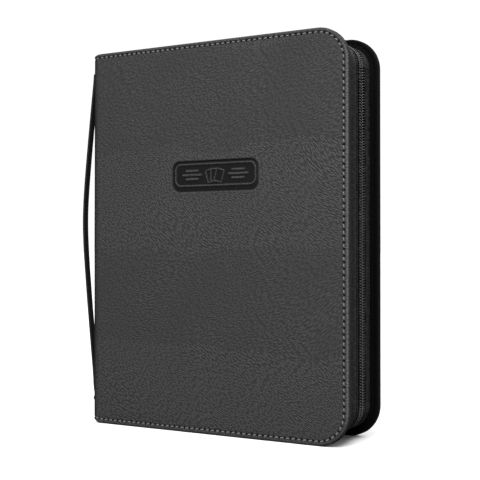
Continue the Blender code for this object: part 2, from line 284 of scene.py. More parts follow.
class Tree:
    """Short forms for building a node tree; values may be numbers or other nodes' sockets."""

    def __init__(self, tree):
        self.tree = tree

    def put(self, socket, value):
        if isinstance(value, bpy.types.NodeSocket):
            self.tree.links.new(value, socket)
        else:
            socket.default_value = value

    def node(self, kind, inputs=(), **settings):
        made = self.tree.nodes.new(kind)
        for key, value in settings.items():
            setattr(made, key, value)
        for key, value in dict(inputs).items():
            self.put(made.inputs[key], value)
        return made

    def attribute(self, name, output="Vector"):
        return self.node("ShaderNodeAttribute", attribute_name=name).outputs[output]

    def maths(self, operation, a, b=0.0, c=0.0):
        made = self.node("ShaderNodeMath", {0: a, 1: b, 2: c}, operation=operation)
        return made.outputs[0]

    def vector(self, operation, a, b=(0, 0, 0)):
        return self.node("ShaderNodeVectorMath", {0: a, 1: b}, operation=operation).outputs[0]

    def noise(self, place, scale, detail=2.0, rough=0.5, output=0):
        made = self.node(
            "ShaderNodeTexNoise",
            {"Vector": place, "Scale": scale, "Detail": detail, "Roughness": rough},
        )
        return made.outputs[output]

    def wander(self, place, scale, detail, reach):
        """A vector that drifts either way over the surface, by up to half of reach."""
        noise = self.noise(place, scale, detail, output=1)
        centred = self.vector("SUBTRACT", noise, (0.5, 0.5, 0.5))
        made = self.node("ShaderNodeVectorMath", {0: centred, "Scale": reach}, operation="SCALE")
        return made.outputs[0]

    def parts(self, vector):
        return self.node("ShaderNodeSeparateXYZ", {0: vector}).outputs

    def mix(self, share, a, b):
        made = self.node("ShaderNodeMix", data_type="RGBA")
        self.put(made.inputs[0], share)
        self.put(made.inputs[6], a)
        self.put(made.inputs[7], b)
        return made.outputs[2]

    def span(self, value, low, high, to_low=0.0, to_high=1.0):
        inputs = {0: value, 1: low, 2: high, 3: to_low, 4: to_high}
        return self.node("ShaderNodeMapRange", inputs).outputs[0]

    def bump(self, height, strength, distance_mm):
        made = self.node("ShaderNodeBump", {"Height": height, "Strength": strength})
        made.inputs["Distance"].default_value = distance_mm * MM
        return made.outputs[0]


class Graph(Tree):
    """One material's node tree."""

    def __init__(self, name):
        self.material = bpy.data.materials.new(name)
        self.material.use_nodes = True
        super().__init__(self.material.node_tree)

    def finish(self, colour, roughness, normal=None, **fixed):
        """Links the surface's looks; "fixed" sets numbers on the shader's own sockets."""
        inputs = self.tree.nodes["Principled BSDF"].inputs
        self.put(inputs["Base Color"], colour)
        self.put(inputs["Roughness"], roughness)
        if normal is not None:
            self.put(inputs["Normal"], normal)
        for key, value in fixed.items():
            inputs[key.replace("_", " ")].default_value = value
        return self.material


# Tone of the painted highlight, with some wear, on rounded edges.
EDGE_HIGHLIGHT_TONE = 0.1
GRAIN_BAND = 61.0
GRAIN_SLANT = math.radians(32)


def grey(value, warmth=0.0):
    return (value * (1 + warmth), value, value * (1 - warmth), 1.0)


def leather(name, dark, light, grain=1.0, strength=0.5, roughness=0.55, specular=0.5):
    """Pebble-grained coated leather: short slanting ripples that change direction in broad bands.

    rest.x and rest.z lie in the sheet, in mm.
    """
    g = Graph(name)
    place = g.attribute("rest")
    across, _, up = g.parts(g.vector("ADD", place, g.wander(place, 0.016, 1.0, 26.0)))
    folded = g.maths("PINGPONG", g.maths("ADD", up, 8.0), GRAIN_BAND)
    flat = g.node("ShaderNodeCombineXYZ", {0: across, 1: folded}).outputs[0]
    slant = {"Vector": flat, "Angle": GRAIN_SLANT}
    turned = g.node("ShaderNodeVectorRotate", slant, rotation_type="Z_AXIS").outputs[0]
    stretched = g.vector("MULTIPLY", turned, (0.38 / grain, 1.2 / grain, 0.0))
    cells = g.vector("ADD", stretched, g.wander(place, 0.42, 2.0, 0.32))
    pebble = g.node(
        "ShaderNodeTexVoronoi",
        {"Vector": cells, "Scale": 1.0, "Smoothness": 0.45, "Randomness": 0.85},
        feature="SMOOTH_F1",
        voronoi_dimensions="2D",
    ).outputs["Distance"]
    fine = g.noise(place, 1.6 / grain, 3.0)
    broad = g.noise(place, 0.02, 2.0)
    # This share darkens and smooths the leather: the emblem's real pressing, painted shade along the
    # spine fold and on the top and bottom rims, and the back cover's rim darkened to near black.
    pressed = g.attribute("press_and_shade", "Fac")
    height = g.maths("MULTIPLY_ADD", fine, 0.5, g.span(pebble, 0.05, 0.62, 1.0, 0.0))
    flatter = g.maths("SUBTRACT", 1.0, g.maths("MULTIPLY", pressed, 0.85))
    normal = g.bump(g.maths("MULTIPLY", height, flatter), strength, 0.55 * grain)
    colour = g.mix(g.maths("POWER", g.span(height, 0.3, 1.25), 1.8), grey(dark), grey(light))
    colour = g.mix(g.span(broad, 0.3, 0.7, 0.0, 0.25), colour, grey(dark))
    for share, most, tone in (
        (pressed, 0.95, dark * 0.1),
        # Painted shade: needle holes are painted near black.
        (g.attribute("pit", "Fac"), 0.97, 0.0006),
        # Painted highlight with some wear: rounded cover edges and lining rims are lightened where
        # light catches them.
        (g.attribute("wear", "Fac"), 0.8, EDGE_HIGHLIGHT_TONE),
    ):
        colour = g.mix(g.maths("MULTIPLY", share, most), colour, grey(tone))
    rough = g.span(height, 0.2, 1.4, roughness + 0.12, roughness - 0.08)
    return g.finish(colour, rough, normal, Specular_IOR_Level=specular)


def woven(name, colour, pitch, ribs=0.0, strength=0.8, sheen=0.03, roughness=0.9):
    """Plain-woven cloth, laid along (x) and across (y) of rest. ribs adds a herringbone."""
    g = Graph(name)
    place = g.attribute("rest")
    turn = 2 * math.pi / pitch
    x, y, _ = g.parts(place)
    along, across = g.maths("MULTIPLY", x, turn), g.maths("MULTIPLY", y, turn)
    if ribs:
        along = g.maths("MULTIPLY_ADD", g.maths("PINGPONG", y, ribs), turn, along)
    over = g.maths("MULTIPLY", g.maths("SINE", along), g.maths("SINE", across))
    threads = g.maths("ADD", g.maths("COSINE", along), g.maths("COSINE", across))
    height = g.maths("MULTIPLY_ADD", over, 0.6, g.maths("MULTIPLY", threads, 0.3))
    fuzz = g.noise(place, 3.0, 3.0)
    slub = g.noise(g.vector("MULTIPLY", place, (1.0, 0.3, 0.3)), 0.75, 2.0, 0.6)
    wear = g.noise(place, 0.06, 3.0)
    height = g.maths("MULTIPLY_ADD", fuzz, 0.8, height)
    shade = g.mix(g.span(height, -0.6, 1.4), grey(colour * 0.55), grey(colour * 1.35))
    shade = g.mix(g.span(slub, 0.4, 0.54, 0.9, 0.0), shade, grey(colour * 0.1))
    shade = g.mix(g.span(slub, 0.52, 0.66, 0.0, 0.8), shade, grey(colour * 2.6))
    shade = g.mix(g.span(wear, 0.35, 0.7, 0.0, 0.35), shade, grey(colour * 0.7))
    rough = g.span(fuzz, 0.3, 0.7, roughness - 0.08, roughness + 0.08)
    gloss = {"Sheen_Weight": sheen, "Sheen_Roughness": 0.5, "Specular_IOR_Level": 0.08}
    return g.finish(shade, rough, g.bump(height, strength, 0.06), **gloss)


def thread(name, colour, specular):
    """Twisted sewing thread: rest holds (along, round, 0) with round in turns."""
    g = Graph(name)
    place = g.attribute("rest")
    along, turns, _ = g.parts(place)
    ply = g.maths("SINE", g.maths("MULTIPLY_ADD", along, 7.0, g.maths("MULTIPLY", turns, 4 * math.pi)))
    tone = g.noise(place, 0.9, 2.0)
    shade = g.mix(g.span(ply, -1.0, 0.6), grey(colour * 0.35), grey(colour))
    shade = g.mix(g.span(tone, 0.3, 0.7, 0.0, 0.3), shade, grey(colour * 0.6))
    rough = g.span(tone, 0.2, 0.8, 0.55, 0.75)
    return g.finish(shade, rough, g.bump(ply, 0.6, 0.08), Specular_IOR_Level=specular)


def nylon(name, colour, roughness, specular):
    """Nylon wire: rest.z runs from 0 in the recess to 1 on the crown of each loop; the recess is
    painted near black as shade.
    """
    g = Graph(name)
    place = g.attribute("rest")
    tone = g.noise(place, 0.8, 3.0)
    crown = g.span(g.parts(place)[2], 0.6, 1.0)
    shade = g.mix(g.span(tone, 0.3, 0.7), grey(colour * 0.75), grey(colour * 1.25))
    # Painted shade: the wire turns near black down in the recess.
    shade = g.mix(crown, grey(colour * 0.01), shade)
    rough = g.span(tone, 0.3, 0.7, roughness - 0.05, roughness + 0.08)
    normal = g.bump(g.noise(place, 4.0, 2.0), 0.25, 0.03)
    return g.finish(shade, rough, normal, Specular_IOR_Level=specular)


def painted_metal(name, colour):
    """Black lacquered metal, rubbed paler in patches."""
    g = Graph(name)
    place = g.attribute("rest")
    speck = g.noise(place, 5.0, 3.0)
    rub = g.span(g.noise(place, 0.7, 3.0), 0.62, 0.72)
    shade = g.mix(rub, grey(colour), grey(colour * 3.0))
    rough = g.span(speck, 0.3, 0.7, 0.28, 0.4)
    return g.finish(shade, rough, g.bump(speck, 0.2, 0.02), Metallic=0.85)


def pocket_film(name):
    """Clear pocket film over a black sheet: glossy, with handling marks and paler welds ("wear")."""
    g = Graph(name)
    place = g.attribute("rest")
    haze = g.noise(place, 0.12, 3.0)
    scuff = g.noise(g.vector("MULTIPLY", place, (1.0, 1.0, 0.12)), 1.5, 2.0)
    shade = g.mix(g.span(haze, 0.35, 0.7), grey(0.018), grey(0.038))
    shade = g.mix(g.attribute("wear", "Fac"), shade, grey(0.13))
    rough = g.span(scuff, 0.35, 0.75, 0.12, 0.3)
    normal = g.bump(haze, 0.35, 0.4)
    return g.finish(shade, rough, normal)


def core(name, dark, light, warmth, scale):
    """Greyboard or foam: a matt speckled sheet."""
    g = Graph(name)
    place = g.node("ShaderNodeTexCoord").outputs["Object"]
    speck = g.noise(place, scale * 1000, 4.0, 0.7)
    shade = g.mix(g.span(speck, 0.3, 0.7), grey(dark, warmth), grey(light, warmth))
    return g.finish(shade, g.span(speck, 0.3, 0.7, 0.8, 0.95), g.bump(speck, 0.5, 0.1))


COVER = leather("grained_cover", 0.030, 0.067, strength=0.66, specular=0.14)
LINING = leather("smooth_lining", 0.001, 0.003, 0.45, 0.35, 0.75, 0.06)
STRAP = leather("strap_leather", 0.004, 0.010, 0.5, 0.5, 0.5, 0.25)
GUSSET = woven("gusset_cloth", 0.011, 1.5, strength=1.0, sheen=0.045)
TAPE = woven("zipper_tape_cloth", 0.003, 0.6, ribs=1.6)
WEBBING = woven("binding_cloth", 0.016, 0.9)
SEAM = thread("seam_thread_grey", 0.24, 0.25)
BLACK_SEAM = thread("black_thread", 0.003, 0.03)
NYLON = nylon("coil_nylon", 0.36, 0.3, 0.5)
METAL = painted_metal("black_zipper_metal", 0.03)
FILM = pocket_film("pocket_film_clear_on_black")
BOARD = core("greyboard", 0.16, 0.30, 0.12, 1.2)
FOAM = core("cover_foam", 0.20, 0.30, 0.0, 2.5)


# ---------------------------------------------------------------- covers


def wrapped(u, v, depth, side):
    """A point of the flat leather sheet, bent round the spine's corner when u passes it."""
    bend = LEFT + HINGE_ROUND - u
    if bend <= 0:
        return (u, side_y(depth, side), v)
    if bend < HINGE_ARC:
        angle = bend / HINGE_ROUND
        reach = HINGE_ROUND - depth
        x = LEFT + HINGE_ROUND - reach * math.sin(angle)
        return (x, side_y(HINGE_ROUND - reach * math.cos(angle), side), v)
    return (LEFT + depth, side_y(HINGE_ROUND + bend - HINGE_ARC, side), v)


SHEET_START = LEFT + HINGE_ROUND - HINGE_ARC - (SPINE_SEAM - HINGE_ROUND)


def seam_marks(start):
    """Distances along the seam line of every needle hole, evenly spaced."""
    _, _, along = three_sided(SEAM_INSET, start, FINE_STEP, 2.0)
    holes = round(along[-1] / STITCH_PITCH)
    return (np.arange(holes) + 0.5) * along[-1] / holes


def slow_wave(u, v):
    """The board's and foam's slight unevenness, in mm."""
    wave = np.sin(u / 31.0 + 1.3 * np.sin(v / 43.0)) + np.sin(v / 37.0 + u / 71.0 + 2.0)
    return 0.05 * wave


def box_distance(x, z, half_x, half_z, radius):
    """Signed distance to a rectangle with round corners, negative inside."""
    qx = np.abs(x) - half_x + radius
    qz = np.abs(z) - half_z + radius
    outside = np.hypot(np.maximum(qx, 0), np.maximum(qz, 0))
    return outside + np.minimum(np.maximum(qx, qz), 0) - radius


def emblem_shape(u, v):
    """(depth, pressed share) of the emblem: a sunk panel, a raised frame and a fan of cards."""
    x, z = np.asarray(u, float) - EMBLEM_X, np.asarray(v, float) - EMBLEM_Z
    outer = box_distance(x, z, EMBLEM_HALF_X, EMBLEM_HALF_Z, 5.0)
    sunk = ramp(-outer, -0.1, 0.6)
    inner = box_distance(x, z - 0.85, EMBLEM_HALF_X - 1.9, EMBLEM_HALF_Z - 2.6, 4.0)
    relief = ramp(0.75 - np.abs(inner + 0.2), 0.0, 0.45)
    for tilt, shift in ((-16, -3.1), (0, 0.0), (16, 3.1)):
        angle = math.radians(tilt)
        dx, dz = x - shift, z - 0.45 + abs(shift) * 0.12
        cx = dx * math.cos(angle) - dz * math.sin(angle)
        cz = dx * math.sin(angle) + dz * math.cos(angle)
        card = box_distance(cx, cz, 2.8, 3.9, 0.7)
        relief = np.where(card < 0.1, 0.0, relief)
        relief = np.maximum(relief, ramp(0.55 - np.abs(card + 0.1), 0.0, 0.3))
    for bar_x in (-16.5, 16.5):
        for rise, half in ((0.85, 7.0), (3.35, 4.6), (-1.65, 4.6)):
            bar = box_distance(x - bar_x, z - rise, half, 0.62, 0.5)
            relief = np.maximum(relief, ramp(-bar, -0.35, 0.15))
    groove = bell(outer + 0.25, 0.42)
    depth = sunk * (0.75 - 0.62 * relief) + 0.3 * groove - 0.10 * bell(outer - 0.9, 0.8)
    return depth, np.maximum(sunk * (1 - relief), groove)


def corner_lift(u, v, inset):
    """The soft corners by the spine: how far a point near the edge moves inward, in mm."""
    near = bell(u - (LEFT + 0.6), 2.3)
    low = ramp(12.0 - v, 0.0, 12.0)
    high = ramp(v - HEIGHT + 6.0, 0.0, 6.0)
    return near * (2.3 * low - 1.0 * high) * math.exp(-inset / 6.0)


def sheet_ring(inset):
    """One line of the flat sheet at a distance from its sewn edge, with normals and distances."""
    flat, normals, along = three_sided(inset, SHEET_START, FINE_STEP, 2.0)
    flat[:, 1] += corner_lift(flat[:, 0], flat[:, 1], inset)
    return flat, normals, along


def face_depth(inset, along, u, v, holes):
    """Depth of the leather's outer face near its sewn edge, and the share of a needle hole."""
    edge = rounded_edge(inset, EDGE_ROUND)
    nearest = np.min(np.abs(along[:, None] - holes[None, :]), axis=1)
    hole = np.minimum(1.0, 2.2 * bell(nearest, 0.66) * bell(inset - SEAM_INSET, 0.6))
    pull = 0.5 + 0.5 * bell(nearest, 0.9)
    groove = 0.34 * pull * bell(inset - SEAM_INSET, 0.62)
    shoulder = 0.16 * np.exp(-np.clip(inset - SEAM_INSET, 0, None) / 2.6) * ramp(inset, 2.0, 3.4)
    lip = -0.1 * bell(inset - 1.5, 0.4)
    return edge + groove + shoulder + lip + 0.42 * hole + slow_wave(u, v) * ramp(inset, 3, 10), hole


def fold_shade(u):
    """Painted shade: the darker line along the fold between cover and spine, where the bend turns from
    the light, as a share.
    """
    return 0.9 * bell(u - (LEFT + 0.9), 2.0)


def spine_crease(u):
    """The dip where the sheet meets the spine's own leather, in mm."""
    return 0.5 * bell(u - SHEET_START, 0.9)


def cover_leather(prefix, side, with_emblem):
    """The outer skin of one cover, in one sheet with the bend and the edge of the spine."""
    holes = seam_marks(SHEET_START)
    rim = [(RIM_WIDTH, SKIN), (RIM_WIDTH, SKIN_RIM), (0.3, SKIN_RIM), (0.0, 1.9), (0.0, EDGE_ROUND)]
    rounds = [EDGE_ROUND * (1 - math.cos(a)) for a in np.radians([20, 42, 66, 90])]
    inner = [1.15, 1.4, 1.7, 2.05, 2.3, 2.5, 2.7, 2.9, 3.1, 3.4, 3.8, 4.5, 5.5, 7.0]
    stations = rim + [(inset, None) for inset in rounds + inner]
    seam_along = sheet_ring(SEAM_INSET)[2]
    count = len(seam_along)
    points, rest, pits, press_and_shade_shares, edge_highlight_shares = [], [], [], [], []
    # Strength of the painted highlight, with some wear, on the rounded edge, stronger on the front
    # cover; the back cover's outer rim is darkened to near black.
    wear, dark_rim = (1.0, 0.0) if side < 0 else (0.2, 1.0)

    def add(flat, depths, *marks):
        """Bends points of the sheet onto the cover, and keeps their marks for the leather."""
        points.extend(wrapped(u, v, d, side) for (u, v), d in zip(flat, depths))
        rest.extend((u, side * (3 + d), v) for (u, v), d in zip(flat, depths))
        for kept, values in zip((pits, press_and_shade_shares, edge_highlight_shares), marks):
            kept.extend(values)

    for inset, depth in stations:
        flat, normals, _ = sheet_ring(inset)
        u, v = flat.T
        if depth is None:
            depths, pit = face_depth(inset, seam_along, u, v, holes)
            depths = depths + spine_crease(u)
        else:
            depths, pit = np.full(count, depth), np.zeros(count)
        # Painted shade: the top and bottom rims darken, where the rounded edge turns from the light,
        # and the painted highlight fades there.
        ends = np.clip(1.6 * np.abs(normals[:, 1]), 0, 1)
        press_and_shade = np.maximum(ends * bell(inset, 0.7) + fold_shade(u), dark_rim if inset < 0.5 else 0.0)
        # Painted highlight with some wear along the rounded edge.
        rubbed = wear * float(bell(inset - 0.5, 0.55)) * (1.0 if depth is None else 0.35)
        add(flat, depths, pit, np.clip(press_and_shade, 0, 1), rubbed * (1 - 0.8 * ends))
    faces = strip_faces(len(stations), count)

    def close(ring, left_z, inner_points, depth_of):
        """Fills inside one ring; left_z are the heights of points down the spine side."""
        flat = sheet_ring(stations[ring][0])[0]
        left = [(SHEET_START, z) for z in left_z]
        triangles, extra = fill([tuple(p) for p in flat] + left, inner_points)
        base, start = ring * count, len(points)
        added = np.array(left + extra)
        depths, press_and_shade = depth_of(added[:, 0], added[:, 1])
        add(added, depths, np.zeros(len(added)), press_and_shade, np.zeros(len(added)))
        for triangle in triangles:
            faces.append(tuple(base + i if i < count else start + i - count for i in triangle))
        return [start + i for i in range(len(left))]

    def outer_depth(u, v):
        press_and_shade = fold_shade(u)
        depth = slow_wave(u, v) + spine_crease(u)
        if with_emblem:
            sunk, dark = emblem_shape(u, v)
            depth, press_and_shade = depth + sunk, np.maximum(press_and_shade, dark)
        return depth, press_and_shade

    def floor_depth(u, v):
        return np.full(len(u), SKIN), np.zeros(len(u))

    inset = stations[-1][0]
    left_z = np.linspace(HEIGHT - inset, inset, 50)[1:-1]
    bend_u = np.arange(SHEET_START + 0.4, LEFT + 3.0, 0.4)
    found = [(u, v) for u in bend_u for v in left_z]
    found += [tuple(p) for p in three_sided(inset + 1.2, LEFT + 4.0, 1.4)[0]]
    found += [
        (u, v)
        for u in np.arange(LEFT + 5.0, RIGHT - 10.0, COARSE_GRID)
        for v in np.arange(inset + 3.5, HEIGHT - inset - 3.0, COARSE_GRID)
        if abs(u - EMBLEM_X) >= EMBLEM_HALF_X + 2 or abs(v - EMBLEM_Z) >= EMBLEM_HALF_Z + 2
    ]
    if with_emblem:
        reach_x, reach_z = (round(half / EMBLEM_GRID) + 4 for half in (EMBLEM_HALF_X, EMBLEM_HALF_Z))
        found += [
            (EMBLEM_X + i * EMBLEM_GRID, EMBLEM_Z + j * EMBLEM_GRID)
            for i in range(-reach_x, reach_x + 1)
            for j in range(-reach_z, reach_z + 1)
        ]
    outer_left = close(len(stations) - 1, left_z, found, outer_depth)
    floor_z = np.linspace(HEIGHT - RIM_WIDTH, RIM_WIDTH, 50)[1:-1]
    floor_left = close(0, floor_z, [(u, v) for u in bend_u for v in floor_z], floor_depth)
    starts = [ring * count for ring in range(len(stations))]
    ends = [start + count - 1 for start in starts]
    faces.append(tuple(starts + outer_left[::-1] + ends[::-1] + floor_left))
    marks = {"pit": pits, "press_and_shade": press_and_shade_shares, "wear": edge_highlight_shares}
    obj = make_mesh(prefix + "_leather_skin", points, faces, rest, 60, **marks)
    dress(obj, COVER, replaces=[prefix + "_cover_leather"])
    hinge_blend(obj)


def cover_lining(prefix, side):
    """The inner skin of a cover: a shallow tray with its own rounded rim."""
    profile = [
        (RIM_WIDTH, SLAB - 0.95), (RIM_WIDTH, LINING_RIM), (0.3, LINING_RIM), (0.0, LINING_RIM + 0.3),
        (0.0, SLAB - 0.8), (0.1, SLAB - 0.4), (0.35, SLAB - 0.12), (0.8, SLAB), (2.1, SLAB),
        (2.45, SLAB - 0.18), (2.7, SLAB - 0.26), (2.95, SLAB - 0.18), (3.4, SLAB), (6.0, SLAB),
    ]
    points, edge_highlight_shares = [], []
    for inset, depth in profile:
        line = three_sided(inset, LEFT + WALL_START, 1.2, 4.0)[0]
        points += [(x, side_y(depth, side), z) for x, z in line]
        # Painted highlight with some wear on the lining's outer rim, stronger on the front cover.
        lit_rim = inset < 0.3 and depth > LINING_RIM + 0.1
        edge_highlight_shares += [(0.3 if side < 0 else 0.05) if lit_rim else 0.0] * len(line)
    count, starts = len(line), range(0, len(points), len(line))
    faces = [tuple(range(count)), tuple(range(starts[-1], starts[-1] + count))]
    faces += strip_faces(len(profile), count)
    faces.append((*starts, *(start + count - 1 for start in starts[::-1])))
    obj = make_mesh(prefix + "_lining_skin", points, faces, sharp=50, wear=edge_highlight_shares)
    dress(obj, LINING, prefix + "_cover", [prefix + "_cover_lining"])


def stitch_rings(begin, finish, lift, out):
    """Rings of one stitch, from one needle hole to the next, bowed out of the leather."""
    begin, finish, out = (np.asarray(v, float) for v in (begin, finish, out))
    line = finish - begin
    across = np.cross(line / np.linalg.norm(line), out)
    begin, finish = begin + across * STITCH_SLANT, finish - across * STITCH_SLANT
    line = finish - begin
    length = np.linalg.norm(line)
    line = line / length
    rings, rest = [], []
    for t, rise, girth in (
        (0.18, -0.5, 0.5), (0.24, -0.18, 0.8), (0.34, 0.06, 1.0), (0.5, 0.12, 1.06),
        (0.66, 0.06, 1.0), (0.76, -0.18, 0.8), (0.82, -0.5, 0.5),
    ):
        centre = begin + line * length * t + out * (rise + lift)
        ring, own = [], []
        for k in range(8):
            angle = 2 * math.pi * k / 8
            spread = across * math.cos(angle) * STITCH_RADIUS * 1.1 * girth
            ring.append(centre + spread + out * math.sin(angle) * STITCH_RADIUS * 0.8 * girth)
            own.append((length * t * 3.0, k / 8, 0.0))
        rings.append(ring)
        rest.append(own)
    return rings, rest


def stitches(name, holes, outs, lift, material, body, replaces=()):
    """One object holding a stitch between each pair of neighbouring needle holes."""
    groups, rests = [], []
    for i in range(len(holes) - 1):
        out = (np.asarray(outs[i]) + np.asarray(outs[i + 1])) / 2
        rings, rest = stitch_rings(holes[i], holes[i + 1], lift, out)
        groups.append(rings)
        rests.append(rest)
    obj = tubes(name, groups, rests, None)
    dress(obj, material, body, replaces)
    return obj


def seam_points(start, holes, face, side):
    """Places of the needle holes on a cover's outer (face "outer") or inner face."""
    flat, _, along = three_sided(SEAM_INSET, start, FINE_STEP, 2.0)
    x, z = (np.interp(holes, along, values) for values in flat.T)
    z = z + corner_lift(x, z, SEAM_INSET)
    if face == "inner":
        return [(a, side_y(SLAB - 0.2, side), b) for a, b in zip(x, z)], [(0, -side, 0)] * len(x)
    places = [np.array(wrapped(u, v, STITCH_SINK, side)) for u, v in zip(x, z)]
    outs = [(wrapped(u, v, 0, side) - low) / STITCH_SINK for u, v, low in zip(x, z, places)]
    return places, outs


def hinge_blend(obj):
    """Bakes a piece's placement into its points."""
    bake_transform(obj)


def seams(prefix, side):
    """The lockstitch through the whole sandwich, seen outside and inside."""
    places, outs = seam_points(SHEET_START, seam_marks(SHEET_START), "outer", side)
    replaced = [prefix + "_seam_thread"]
    row = stitches(prefix + "_seam_stitches", places, outs, 0.03, SEAM, None, replaced)
    hinge_blend(row)
    start = LEFT + WALL_START + 3.0
    places, outs = seam_points(start, seam_marks(start), "inner", side)
    stitches(prefix + "_lining_stitches", places, outs, -0.06, BLACK_SEAM, prefix + "_cover")


for prefix, side in SIDES:
    cover_leather(prefix, side, prefix == "front")
    cover_lining(prefix, side)
    seams(prefix, side)
    NODES[prefix + "_cover_foam"].data.materials[0] = FOAM
    NODES[prefix + "_cover_board"].data.materials[0] = BOARD


# ---------------------------------------------------------------- spine


def hinge_lining(prefix, side):
    """The lining's deep fold in the inner corner, between cover and spine."""
    half_thick = 0.2
    middle = np.array([
        (5.15, 4.15), (4.4, 3.9), (3.2, 3.0), (2.5, 2.05), (1.75, 1.75), (2.05, 2.5), (3.0, 3.2),
        (3.85, 4.4), (4.05, 5.15),
    ])
    tangent = unit_tangents(middle)
    normal = np.column_stack([-tangent[:, 1], tangent[:, 0]]) * half_thick
    section = np.vstack([middle + normal, (middle - normal)[::-1]])
    heights = [0.8 + (HEIGHT - 1.6) * i / 60 for i in range(61)]
    rings = [[(LEFT + x, side_y(y, side), z) for x, y in section] for z in heights]
    obj = tubes(prefix + "_hinge_lining", [rings])
    dress(obj, LINING)
    hinge_blend(obj)


def even(low, high, step):
    """Evenly spaced values from low to high."""
    return np.linspace(low, high, max(2, round((high - low) / step) + 1))


def graded(low, high, edge, step):
    """Fine offsets at both ends, and even steps between them."""
    middle = even(low + edge[-1], high - edge[-1], step)
    return np.unique(np.round(np.concatenate([low + edge, middle, high - edge]), 4))


def spine_panel():
    """The grained leather between the two covers' leathers, with its own sewn ends."""
    half = THICKNESS / 2 - SPINE_SEAM - 0.04
    marks = np.arange(-half + 1.2, half - 0.5, STITCH_PITCH)

    def outer(y, z):
        from_end = min(z, HEIGHT - z)
        from_seam = from_end - SEAM_INSET
        near = float(np.min(np.abs(marks - y)))
        drop = rounded_edge(from_end, 0.9) + rounded_edge(half - abs(y), 0.55)
        drop += float(bell(from_seam, 0.62)) * (0.17 + 0.17 * float(bell(near, 0.9)))
        drop += 0.35 * float(bell(near, 0.38)) * float(bell(from_seam, 0.36))
        wave = 0.06 * math.sin(y / 5.0 + 0.6 * math.sin(z / 39.0)) * math.sin(z / 23.0)
        return (LEFT + drop + wave * min(1.0, from_end / 8), y, z)

    def inner(y, z):
        return (LEFT + 1.15 + 0.1 * rounded_edge(min(z, HEIGHT - z), 0.9), y, z)

    rows = graded(0, HEIGHT, even(0, 5.0, 0.45), 2.3)
    obj = slab("spine_leather_panel", even(-half, half, 0.45), rows, outer, inner, 60, (1, 0, 2))
    dress(obj, COVER, "spine", ["spine_leather"])
    for place, z in (("bottom", SEAM_INSET), ("top", HEIGHT - SEAM_INSET)):
        holes = [(LEFT + STITCH_SINK, y, z) for y in marks]
        outs = [(-1, 0, 0)] * len(holes)
        stitches("spine_stitches_" + place, holes, outs, 0.03, SEAM, "spine")


def spine_lining():
    """The smooth leather on the spine's inner side."""
    low, high = box_mm("spine_lining")
    half = high.y

    def face(level, sign):
        def surface(y, z):
            from_edge = min(z, HEIGHT - z, half - abs(y))
            wave = 0.05 * math.sin(z / 11.0 + y / 4.0)
            return (level - sign * (rounded_edge(from_edge, 0.5) + wave * min(1.0, from_edge)), y, z)

        return surface

    edge = even(0, 1.0, 0.2)
    columns, rows = graded(-half, half, edge, 1.6), graded(0, HEIGHT, edge, 3.0)
    obj = slab("spine_lining_panel", columns, rows, face(high.x, 1), face(low.x, -1), axes=(1, 0, 2))
    dress(obj, LINING, "spine", ["spine_lining"])


def block(name, low, high, radius, step=0.5, crown=0.0):
    """A softly rounded block with a fine skin; crown raises the middle of every face."""
    low, high = np.asarray(low, float), np.asarray(high, float)
    middle, half = (low + high) / 2, (high - low) / 2
    radius = min(radius, min(half))
    points, faces, index = [], [], {}
    counts = [max(4, min(40, round(2 * h / step))) for h in half]

    def corner(key):
        if key not in index:
            index[key] = len(points)
            unit = np.array([2.0 * k / n - 1 for k, n in zip(key, counts)])
            place = unit * half
            inner = np.clip(place, -(half - radius), half - radius)
            length = np.linalg.norm(place - inner)
            if length > 1e-9:
                place = inner + (place - inner) / length * radius
            swell = 1 + crown * np.prod(np.cos(unit * math.pi / 2) + 1e-9) ** 0.5
            points.append(middle + place * swell)
        return index[key]

    for axis in range(3):
        a, b = [k for k in range(3) if k != axis]
        for end in (0, counts[axis]):
            for i, j in np.ndindex(counts[a], counts[b]):
                face = []
                for di, dj in ((0, 0), (1, 0), (1, 1), (0, 1)):
                    key = [0, 0, 0]
                    key[axis], key[a], key[b] = end, i + di, j + dj
                    face.append(corner(tuple(key)))
                faces.append(face)
    return make_mesh(name, points, faces, sharp=60)


def binding_strip():
    """The cloth-covered bundle that holds the leaves: a bowed face with a rib between leaves."""
    low, high = box_mm("binding_strip")
    half, middle = high.y, (low.x + high.x) / 2
    pitch = box_mm("page_02")[0].y - box_mm("page_01")[0].y

    def face_x(y):
        share = min(1.0, abs(y) / (half - 0.6))
        rib = 0.1 * math.cos(2 * math.pi * y / pitch)
        return LEFT + 5.9 + 1.9 * (1 - share * share) - 0.1 + rib - rounded_edge(half - abs(y), 0.5)

    section = [(low.x, y) for y in np.linspace(-half, half, 12)]
    section += [(face_x(y), y) for y in np.linspace(-half, half, 81)[::-1]]
    ends = np.arange(0, 1.0, 0.25)
    heights = [low.z + ends, np.arange(low.z + 1.0, high.z, 2.0)[:-1], high.z - ends]
    rings = []
    for z in np.unique(np.round(np.concatenate(heights), 4)):
        pinch = rounded_edge(min(z - low.z, high.z - z), 0.6)
        flatter, slimmer = 1 - pinch * 0.35, 1 - pinch * 0.03
        rings.append([(middle + (x - middle) * flatter, y * slimmer, z) for x, y in section])
    rest = [[(z, y, x) for x, y, z in ring] for ring in rings]
    obj = tubes("binding_strip_cloth", [rings], [rest])
    dress(obj, WEBBING, "spine", ["binding_strip"])
    for sign, flank in ((-1, "front"), (1, "back")):
        for end, z in (("bottom", low.z + 4), ("top", high.z - 4)):
            holes = [(LEFT + 5.6, sign * (half + 0.05), z + k * 3.0 - 6) for k in range(5)]
            name = f"binding_tack_{flank}_{end}"
            stitches(name, holes, [(0, sign, 0)] * 5, 0, BLACK_SEAM, "spine")


# ---------------------------------------------------------------- zipper wall


